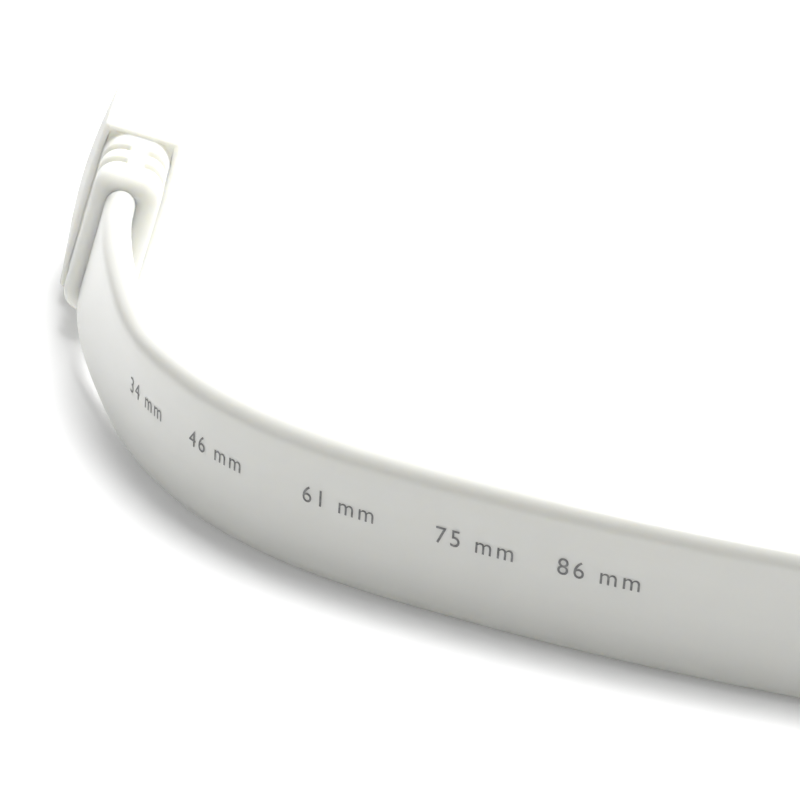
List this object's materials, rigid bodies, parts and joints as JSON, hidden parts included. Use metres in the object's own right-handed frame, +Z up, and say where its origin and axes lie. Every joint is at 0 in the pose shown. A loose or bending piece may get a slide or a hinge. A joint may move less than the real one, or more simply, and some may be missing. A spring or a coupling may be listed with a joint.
{
  "type": "hdmi cable",
  "caption": "Flat white HDMI cable standing on its narrow edge, with a moulded plug at each end and its spare length in a coil.",
  "frame": {"origin": "on the floor under the middle of the near plug's box", "axes": "+Y from the near plug's cable end towards its nose, +Z up"},
  "size_m": [0.2568, 0.1573, 0.0221],
  "materials": {
    "white_jacket": "smooth white PVC jacket with a soft gloss",
    "white_moulding": "white moulded PVC, satin",
    "nickel_shell": "folded steel sheet, nickel plated",
    "insert_plastic": "off-white moulded insulator"
  },
  "bodies": {
    "root": {"plug_body": "white_moulding", "plug_shell": "nickel_shell", "contact_insert": "insert_plastic", "cable_lead": "white_jacket", "cable_coil": "white_jacket", "cable_tail": "white_jacket", "far_plug_body": "white_moulding", "far_plug_shell": "nickel_shell", "far_contact_insert": "insert_plastic"}
  },
  "joints": []
}
